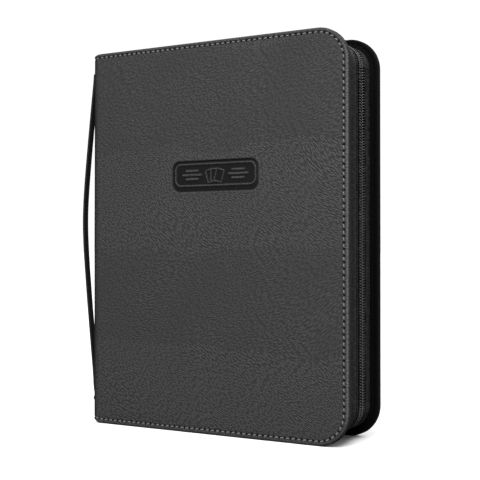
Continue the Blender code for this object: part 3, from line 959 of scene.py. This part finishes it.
def gusset(prefix, side, end):
    """Woven side wall: piped where the cover is sewn on, hemmed beside the zipper tape."""
    top, bottom = WALL_OUTER, WALL_INNER
    start = SLAB + 0.3
    # Each profile as (drop below the wall's face, distance from the end it belongs to).
    piping = [
        (0.75, 0.0), (0.32, 0.12), (0.08, 0.4), (0.0, 0.8), (0.06, 1.3), (0.34, 1.55), (0.42, 1.75),
        (0.3, 1.95), (0.1, 2.2), (0.03, 3.0),
    ]
    hem = [
        (0.1, 2.6), (0.26, 2.25), (0.33, 2.1), (0.24, 1.9), (0.05, 1.5), (0.02, 0.8), (0.14, 0.3),
        (0.6, 0.0),
    ]
    profile = [(top + drop, start + run) for drop, run in piping]
    for share in (0.3, 0.45, 0.6, 0.75):
        bulge = 0.05 + 0.05 * math.sin(share * math.pi)
        profile.append((top + bulge, start + (end - start) * share))
    profile += [(top + drop, end - run) for drop, run in hem]
    profile += [
        (bottom - 0.5, end), (bottom - 0.1, end - 0.25), (bottom, end - 0.8), (bottom, start + 1.0),
        (bottom - 0.1, start + 0.2), (bottom - 0.6, start),
    ]
    body = prefix + "_cover"
    obj = band(prefix + "_gusset_cloth", profile, side, LEFT + WALL_START, 0.07)
    dress(obj, GUSSET, body, [prefix + "_gusset"])
    at, length = wall_line(top + 0.3, LEFT + WALL_START + 2, 4.0)
    for row, depth in (("cover", start + 1.75), ("tape", end - 2.1)):
        spots = [at(s, side_y(depth, side)) for s in np.arange(1.0, length - 1.0, WALL_STITCH_PITCH)]
        name = f"{prefix}_gusset_{row}_stitches"
        stitches(name, *zip(*spots), -0.05, BLACK_SEAM, body)


def zipper_tape(prefix, side, start, end):
    """Herringbone tape with a cord-like edge beside the teeth."""
    outer, inner = TAPE_OUTER, WALL_INNER
    profile = [
        (outer + 0.62, start), (outer + 0.55, start + 0.3), (outer + 0.5, start + 0.8),
        (outer + 0.4, start + 1.4), (outer + 0.42, (start + end) / 2), (outer + 0.4, end - 0.9),
        (outer + 0.28, end - 0.5), (outer + 0.32, end - 0.15), (outer + 0.5, end), (inner - 0.1, end),
        (inner, end - 0.3), (inner, start + 0.3), (inner - 0.1, start),
    ]
    obj = band(prefix + "_tape_cloth", profile, side, LEFT + TAPE_START)
    dress(obj, TAPE, prefix + "_cover", [prefix + "_zipper_tape"])


def tube(name, path, radii, sides=6, crowns=0.0):
    """A tube along points, kept from twisting. radii and crowns may vary from point to point."""
    path = np.asarray(path, float)
    radii, crowns = (np.broadcast_to(values, len(path)) for values in (radii, crowns))
    tangents = unit_tangents(path)
    normal = np.cross(tangents[0], (0.3, 0.5, 0.8))
    angles = [2 * math.pi * k / sides for k in range(sides)]
    turns = [(k, math.cos(angle), math.sin(angle)) for k, angle in enumerate(angles)]
    rings, rest = [], []
    for point, tangent, radius, length, crown in zip(path, tangents, radii, run_lengths(path), crowns):
        normal = normal - tangent * np.dot(normal, tangent)
        normal = normal / np.linalg.norm(normal)
        other = np.cross(tangent, normal)
        rings.append([point + (normal * c + other * s) * radius for _, c, s in turns])
        rest.append([(length, k / sides, crown) for k, _, _ in turns])
    return tubes(name, [rings], [rest])


def wall_line(inset, start, arc_step, start_high=None):
    """A function for the place and outward direction at a distance along the wall, and its length."""
    base, normals, along = three_sided(inset, start, 1.0, arc_step, start_high)

    def at(s, y, deeper=0.0):
        x, z, nx, nz = (np.interp(s, along, values) for values in (*base.T, *normals.T))
        return (x - nx * deeper, y, z - nz * deeper), (nx, 0, nz)

    return at, along[-1]


def coil(prefix, side):
    """One half of a nylon coil zipper: a wire wound in slanting loops that end in broad heads."""
    wire = 0.25
    # The front half's heads close over the back half's, which dip under them.
    dip, reach, far = (0.0, -0.15, 2.6) if side < 0 else (0.25, 0.0, 3.3)
    low, high = TAPE_OUTER - wire + 0.2, TAPE_OUTER - wire - 0.8
    at, length = wall_line(0.0, LEFT + TAPE_START, 3.0, LEFT + COIL_START_TOP)
    turns = int((length - COIL_PITCH * 1.5) / COIL_PITCH)
    offset = 0.3 + (COIL_PITCH / 2 if side > 0 else 0.0)
    parting_y = FRONT + PARTING
    # Each step: share of the pitch, distance behind the parting line, inset and thickness.
    steps = (
        (0.42, 1.2, low, 0.8), (0.3, 0.8, low, 0.8), (0.16, 0.4, low, 0.9),
        (0.1, reach + 0.25, low, 1.0), (0.08, reach, (low + high) / 2 + dip, 1.1),
        (0.08, reach + 0.3, high + 0.12 + dip, 1.1), (0.1, reach + 1.0, high + 0.6 * dip, 1.05),
        (0.22, 1.8, high, 1.0), (0.34, far, high + 0.08, 1.15), (0.5, far - 0.7, low, 0.6),
    )
    path, radii, crowns = [], [], []
    for turn in range(turns):
        for share, behind, inset, girth in steps:
            s = offset + (turn + share + 0.1) * COIL_PITCH
            path.append(at(s, parting_y + side * behind, inset)[0])
            radii.append(wire * girth)
            # The wire's height above the recess, which the nylon turns into painted shade.
            crowns.append((low - inset) / (low - high))
    obj = tube(prefix + "_coil_teeth", path, radii, crowns=crowns)
    dress(obj, NYLON, prefix + "_cover", [prefix + "_zipper_coil"])
    for row, behind in (("inner", 1.35), ("outer", 2.3)):
        path = []
        for quarter in range(turns * 4):
            rise = 0.17 * math.cos(2 * math.pi * (quarter / 4 - 0.45))
            inset = high - wire * 0.9 - rise * 0.6
            path.append(at(offset + quarter * COIL_PITCH / 4, parting_y + side * behind, inset)[0])
        sewing = tube(f"{prefix}_coil_sewing_{row}", path, 0.15, 5)
        dress(sewing, BLACK_SEAM, prefix + "_cover")


def zipper_end(place):
    """The cloth patch over the end of the tapes, and the crimped metal stop."""
    low, high = box_mm("zipper_end_tab_" + place)
    patch = block("zipper_end_patch_" + place, low, high, 0.38, 0.35, 0.02)
    dress(patch, TAPE, "spine", ["zipper_end_tab_" + place])
    out, surface = (-1, low.z) if place == "bottom" else (1, high.z)
    step = (high.y - low.y - 2.4) / 4
    for row, x in (("near", low.x + 1.4), ("far", high.x - 1.4)):
        holes = [(x, low.y + 1.2 + step * k, surface + out * 0.02) for k in range(5)]
        name = f"zipper_end_stitches_{place}_{row}"
        stitches(name, holes, [(0, 0, out)] * 5, 0.02, BLACK_SEAM, "spine")
    low, high = box_mm("zipper_stop_" + place)
    middle = (low + high) / 2
    shares = [i / 24 * 2 - 1 for i in range(25)]
    path = [(middle.x, middle.y + s * 3.1, surface + out * (1.0 - 0.85 * abs(s) ** 6)) for s in shares]
    stop = tube("zipper_stop_staple_" + place, path, 0.46, 10)
    dress(stop, METAL, "spine", ["zipper_stop_" + place])


def plate(outline, low_z, high_z, edge):
    """Rings of a flat plate from an (x, y) outline, with rounded rims."""
    outline = np.array(outline, float)
    centre = outline.mean(axis=0)
    shape = outline - centre
    reach = np.linalg.norm(shape, axis=1)[:, None]
    layers = [(low_z, edge), (low_z + edge * 0.3, edge * 0.3), (low_z + edge, 0.0)]
    layers += [(high_z - edge, 0.0), (high_z - edge * 0.3, edge * 0.3), (high_z, edge)]
    return [[(x, y, z) for x, y in centre + shape * (1 - shrink / reach)] for z, shrink in layers]


def smooth_outline(corners, rounds=3):
    """Rounds an outline's corners by cutting them a few times."""
    points = np.array(corners, float)
    for _ in range(rounds):
        following = np.roll(points, -1, axis=0)
        points = np.stack([points * 0.75 + following * 0.25, points * 0.25 + following * 0.75], 1)
        points = points.reshape(-1, 2)
    return points


def slider():
    """Slider body: shoulders, waist, rolled flanges, two ears and the pin through them."""
    low, high = box_mm("zipper_slider")
    middle = FRONT + PARTING
    outer_top, inner_top, thick = HEIGHT - 3.4, HEIGHT - 7.3, 1.0
    length, half = high.x - low.x, (high.y - middle) * 0.995
    flank = [(0.0, 0.62), (0.12, 0.86), (0.3, 1.0), (0.5, 0.97), (0.72, 0.8), (1.0, 0.74)]
    flank += [(u, -v) for u, v in flank[::-1]]
    outline = smooth_outline([(low.x + u * length, middle + v * half) for u, v in flank], 2)
    groups = [plate(outline, top - thick, top, 0.28) for top in (outer_top, inner_top)]
    web = [(16.7, 0.28), (19.0, 0.24), (19.4, 0.0), (19.0, -0.24), (16.7, -0.28)]
    web = smooth_outline([(LEFT + x, middle + y) for x, y in web], 1)
    groups.append(plate(web, HEIGHT - 7.8, outer_top - 0.4, 0.05))
    flange = [(1.5, 4.22), (3.2, 4.3), (5.2, 4.26), (5.0, 4.56), (3.2, 4.59), (1.8, 4.5)]
    ear = [(-1.2, 0.0), (1.2, 0.0), (1.1, 1.4), (0.6, 2.2), (0.0, 2.4), (-0.6, 2.2), (-1.1, 1.4)]
    ear = smooth_outline([(LEFT + 20 + x, outer_top - 0.3 + z) for x, z in ear], 2)
    centre = ear.mean(axis=0)
    for sign in (-1, 1):
        rail = smooth_outline([(low.x + x, middle + sign * y) for x, y in flange], 2)
        groups.append(plate(rail, outer_top - 2.0, outer_top - 0.3, 0.06))
        rings = []
        for y, shrink in ((1.4, 0.12), (1.5, 0.0), (2.1, 0.0), (2.2, 0.12)):
            ring = centre + (ear - centre) * (1 - shrink / 1.2)
            rings.append([(x, middle + sign * y, z) for x, z in ring])
        groups.append(rings)
    body = tubes("zipper_slider_body", groups, sharp=40)
    dress(body, METAL, "slider", ["zipper_slider"])
    path = [(LEFT + 20.0, middle + y, HEIGHT - 2.3) for y in np.linspace(-2.3, 2.3, 9)]
    radii = [0.34, 0.44, 0.4, 0.4, 0.4, 0.4, 0.4, 0.44, 0.34]
    dress(tube("zipper_slider_pin", path, radii, 14), METAL, "slider")


def pull():
    """The pull tab: an eye round the pin, a slim neck and a dished grip with a hole."""
    middle, level, start = FRONT + PARTING, HEIGHT - 2.3, LEFT + 20.0
    half_thick, hole_x, hole_y = 0.49, 1.9, 1.25
    hole_middle = start + 14.2
    corners = [(-0.6, 0.9), (1.6, 1.05), (3.0, 1.3), (4.6, 3.1), (11.0, 3.2), (16.4, 3.2), (18.05, 2.2)]
    mirrored = corners + [(x, -y) for x, y in corners[::-1]]
    outline = smooth_outline([(start + x, middle + y) for x, y in mirrored], 3)
    angles = np.linspace(0, 2 * math.pi, 40, endpoint=False)
    hole = [(hole_middle + hole_x * math.cos(a), middle + hole_y * math.sin(a)) for a in angles]

    def inside(point, margin):
        x, y = point[0] - start, abs(point[1] - middle)
        limit = np.interp(x, *zip(*corners))
        clear = math.hypot((point[0] - hole_middle) / (hole_x + margin), y / (hole_y + margin)) > 1
        return y < limit - margin and 0.0 < x < 17.6 and clear

    grid = [(start + 0.2 + 0.42 * i, middle - 3.0 + 0.42 * j) for i in range(43) for j in range(15)]
    count, ring = len(outline), len(hole)
    coords = [Vector(p) for p in [*outline, *hole, *(p for p in grid if inside(p, 0.3))]]
    edges = [(count + i, count + (i + 1) % ring) for i in range(ring)]
    places, _, triangles = geometry.delaunay_2d_cdt(coords, edges, [list(range(count))], 1, 1e-4)[:3]
    flat = [tuple(p) for p in places]
    kept = []
    for triangle in triangles:
        x, y = (sum(flat[i][axis] for i in triangle) / 3 for axis in (0, 1))
        if math.hypot((x - hole_middle) / hole_x, (y - middle) / hole_y) > 0.99:
            kept.append(triangle)
    border = dict.fromkeys(edge for a, b, c in kept for edge in ((a, b), (b, c), (c, a)))
    rim = [edge for edge in border if (edge[1], edge[0]) not in border]
    on_rim = {i for edge in rim for i in edge}
    total = len(flat)

    def top(i):
        x, y = flat[i][0] - start, flat[i][1] - middle
        if i in on_rim:
            return half_thick - 0.18
        dish = 0.2 * float(ramp(x, 5.0, 6.5)) * float(ramp(12.0 - x, 0.0, 1.2))
        return half_thick - dish * float(ramp(2.5 - abs(y), 0.0, 0.7))

    points = [(*p, level + sign * top(i)) for sign in (1, -1) for i, p in enumerate(flat)]
    faces = kept + [(c + total, b + total, a + total) for a, b, c in kept]
    faces += [(b, a, a + total, b + total) for a, b in rim]
    obj = make_mesh("zipper_pull_tab", points, faces, sharp=50)
    dress(obj, METAL, "pull", ["zipper_pull"])


# ---------------------------------------------------------------- pages and strap


def page_leaf():
    """One leaf: a black sheet with two by two film pockets welded to each side."""
    low, high = box_mm("page_10")
    length, bottom, top = high.x - low.x, low.z, high.z
    root, hem = 11.0, 2.2
    middle_x, middle_z = (root + length) / 2, (bottom + top) / 2
    welds_x = [root + hem, middle_x - 1.1, middle_x + 1.1, length - hem]
    welds_z = [bottom + hem, middle_z - 1.1, middle_z + 1.1, top - hem]

    def grid_lines(values, welds, last):
        """The grid's lines: those given, and some on both sides of every weld."""
        values += [weld + near for weld in welds for near in (-1.6, -0.7, -0.35, 0, 0.35, 0.7, 1.6)]
        return sorted({round(float(v), 3) for v in values if values[0] <= v <= last})

    def near_weld(x, z, width):
        gap = min([abs(x - weld) for weld in welds_x] + [abs(z - weld) for weld in welds_z])
        return float(bell(gap, width))

    def half_thickness(x, z, back):
        if x <= root:
            return 0.14 + 0.02 * math.sin(z / 3.0)
        soft = rounded_edge(max(min(length - x, z - bottom, top - z), 0.0), 0.4) * 0.5
        swell = abs(math.sin(math.pi * (x - welds_x[0]) / (welds_x[2] - welds_x[0])))
        swell *= abs(math.sin(math.pi * (z - welds_z[0]) / (welds_z[2] - welds_z[0])))
        ripple = 0.035 * math.sin(x / 9.0 + 2 * back) * math.sin(z / 13.0 + x / 31.0)
        slit = float(bell(x - (middle_x - (2.2 if back else 1.9)), 0.5)) * 0.08
        full = 0.36 + 0.13 * swell ** 0.5 + ripple * swell - 0.2 * near_weld(x, z, 0.3) - soft - slit
        return 0.14 + (full - 0.14) * float(ramp(x, root, root + 0.6))

    def weld_share(x, z):
        """How much of a point lies on a weld between pockets."""
        if x < root or x > length - hem + 1 or min(z - bottom, top - z) < hem - 1:
            return 0.0
        return near_weld(x, z, 0.4) * (0.8 + 0.2 * math.sin(x * 2.1 + z * 1.7))

    fixed_x = [0.0, root * 0.5, root - 0.6, root, root + 0.6, length - 0.6, length - 0.25, length]
    fixed_z = [bottom, bottom + 0.25, bottom + 0.6, top - 0.6, top - 0.25, top]
    xs = grid_lines(fixed_x + list(np.arange(root + 4, length - 3, 4.6)), welds_x, length)
    zs = grid_lines(fixed_z + list(np.arange(bottom + 4, top - 3, 5.2)), welds_z, top)
    shares = [weld_share(x, z) for z in zs for x in xs] * 2
    return slab(
        "page_leaf_01", xs, zs, lambda x, z: (x, -half_thickness(x, z, False), z),
        lambda x, z: (x, half_thickness(x, z, True), z), 60, wear=shares,
    )


def pages():
    """Twenty leaves that share one mesh, each on its own hinge."""
    first = page_leaf()
    first.data.materials.append(FILM)
    for number in range(1, 21):
        low, high = box_mm(f"page_{number:02d}")
        leaf = first if number == 1 else link(f"page_leaf_{number:02d}", first.data)
        leaf.location = Vector((low.x, (low.y + high.y) / 2, 0)) * MM
        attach(leaf, f"page_{number:02d}")
        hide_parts(f"page_{number:02d}")


def strap():
    """The carrying strap, read from its CAD node: a padded strip with its ends in slots."""
    low, high = box_mm("handle_strap")
    width, thick, turn = high.y - low.y, 1.9, 1.3
    outer = {}
    for vertex in NODES["handle_strap"].data.vertices:
        height = round(vertex.co.z * 1000, 2)
        outer[height] = min(outer.get(height, 99.0), vertex.co.x * 1000)
    heights = np.array(sorted(z for z in outer if low.z + 1.0 < z < high.z - 1.0))
    z = np.arange(low.z + 3.4, high.z - 3.3, 1.0)
    x = np.interp(z, heights, [outer[height] for height in heights]) + thick / 2
    steps = np.arange(1, 7)
    kernel = np.exp(-((np.arange(-6, 7) / 3.0) ** 2))
    padded = [x[0] - (x[1] - x[0]) * steps[::-1], x, x[-1] + (x[-1] - x[-2]) * steps]
    x = np.convolve(np.concatenate(padded), kernel / kernel.sum(), mode="valid")

    def tucked(entry, up):
        """One end, from inside its slot to where it runs along the spine."""
        bends = [math.radians(angle) for angle in (20, 45, 70)]
        inside = [(LEFT + x, entry) for x in (1.1, 0.4, -0.1)]
        return inside + [
            (LEFT - 0.1 - turn * math.sin(a), entry + up * turn * (1 - math.cos(a))) for a in bends
        ]

    path = tucked(low.z + thick / 2, 1) + list(zip(x, z)) + tucked(high.z - thick / 2, -1)[::-1]
    section = []
    for k in range(28):
        c, d = math.cos(2 * math.pi * k / 28), math.sin(2 * math.pi * k / 28)
        across = math.copysign(abs(c) ** 0.55, c) * width / 2 * 0.985
        groove = 0.13 * float(bell(abs(across) - width / 2 + 0.75, 0.2)) * abs(d)
        out = max(abs(d) ** 0.7 * thick / 2 * 0.97 - groove, 0)
        section.append((across, math.copysign(out, d)))
    middle = (low.y + high.y) / 2
    rings, rest = [], []
    for (px, pz), (tx, tz), s in zip(path, unit_tangents(path), run_lengths(path)):
        rings.append([(px - tz * out, middle + across, pz + tx * out) for across, out in section])
        rest.append([(s, out, across) for across, out in section])
    dress(tubes("carrying_strap", [rings], [rest]), STRAP, "spine", ["handle_strap"])


for prefix, side in SIDES:
    hinge_lining(prefix, side)
spine_panel()
spine_lining()
binding_strip()
gusset("front", -1, FRONT_WALL_END)
gusset("back", 1, THICKNESS - BACK_WALL_START)
zipper_tape("front", -1, FRONT_WALL_END + 0.3, PARTING - 0.6)
zipper_tape("back", 1, THICKNESS - BACK_WALL_START + 0.3, THICKNESS - PARTING - 0.6)
for prefix, side in SIDES:
    coil(prefix, side)
zipper_end("bottom")
zipper_end("top")
slider()
pull()
pages()
strap()
NODES["spine_board"].data.materials[0] = BOARD
for place in ("bottom", "top"):
    low, high = box_mm("strap_anchor_" + place)
    patch = block("strap_anchor_patch_" + place, low, high, 0.5)
    dress(patch, WEBBING, "spine", ["strap_anchor_" + place])


# ---------------------------------------------------------------- stage

# The room's and the floor's brightness as the object gets it; the camera sees both near white.
ROOM_LIGHT, ROOM_SEEN = 0.25, 1.05
FLOOR_BOUNCE = 0.2
FLOOR_HALF = 60.0
# Suns: name, direction it shines from, strength and angle across in degrees.
SUNS = (
    ("overhead_light", (0.1, -0.2, 3.0), 2.9, 50),
    ("front_light", (0.0, -1.5, 1.1), 0.6, 40),
    ("back_light", (-0.7, 1.5, 1.0), 1.5, 40),
)
# Softboxes: name, place and target in metres, power and size.
SOFTBOXES = (
    ("top_softbox", (0.3, -0.7, 0.75), (0, 0, 0.16), 11.0, 0.5),
    ("side_glint", (1.5, -0.7, 0.55), (0.09, 0, 0.13), 1.6, 0.25),
    ("rim_light", (1.1, 0.95, 0.7), (0.09, 0, 0.13), 2.0, 0.3),
)


def lamp(kind, name, place, target, energy, **settings):
    """A light at a place, aimed at a target."""
    data = bpy.data.lights.new(name, kind)
    data.energy = energy
    for key, value in settings.items():
        setattr(data, key, value)
    obj = link(name, data)
    obj.location = place
    obj.rotation_euler = (Vector(target) - obj.location).to_track_quat("-Z", "Y").to_euler()


def studio():
    """A pale floor that runs to the horizon, a white room beyond it, and large soft lights."""
    g = Graph("pale_floor")
    tone = g.noise(g.node("ShaderNodeTexCoord").outputs["Object"], 1.5, 2.0)
    seen = g.node("ShaderNodeLightPath").outputs["Is Camera Ray"]
    shade = g.mix(seen, grey(FLOOR_BOUNCE), g.mix(tone, grey(0.84), grey(0.86)))
    mesh = bpy.data.meshes.new("studio_floor")
    corners = [(-1, -1), (1, -1), (1, 1), (-1, 1)]
    mesh.from_pydata([(x * FLOOR_HALF, y * FLOOR_HALF, 0) for x, y in corners], [], [(0, 1, 2, 3)])
    mesh.materials.append(g.finish(shade, 0.9, Specular_IOR_Level=0.0))
    link("studio_floor", mesh)
    world = bpy.data.worlds.new("studio_white")
    world.use_nodes = True
    room = Tree(world.node_tree)
    seen = room.node("ShaderNodeLightPath").outputs["Is Camera Ray"]
    background = world.node_tree.nodes["Background"]
    background.inputs["Color"].default_value = grey(1.0)
    room.put(background.inputs["Strength"], room.span(seen, 0.0, 1.0, ROOM_LIGHT, ROOM_SEEN))
    bpy.context.scene.world = world
    for name, place, energy, spread in SUNS:
        lamp("SUN", name, place, (0, 0, 0), energy, angle=math.radians(spread))
    for name, place, target, energy, size in SOFTBOXES:
        lamp("AREA", name, place, target, energy, size=size)
    data = bpy.data.cameras.new("camera")
    data.sensor_width = 36.0
    data.lens = 79.17
    camera = link("camera", data)
    camera.location = (0.35285, -0.5628, 0.1116)
    camera.rotation_euler = (math.radians(90.60), 0.0, math.radians(31.19))
    bpy.context.scene.camera = camera
    bpy.context.scene.view_settings.view_transform = "Standard"


studio()
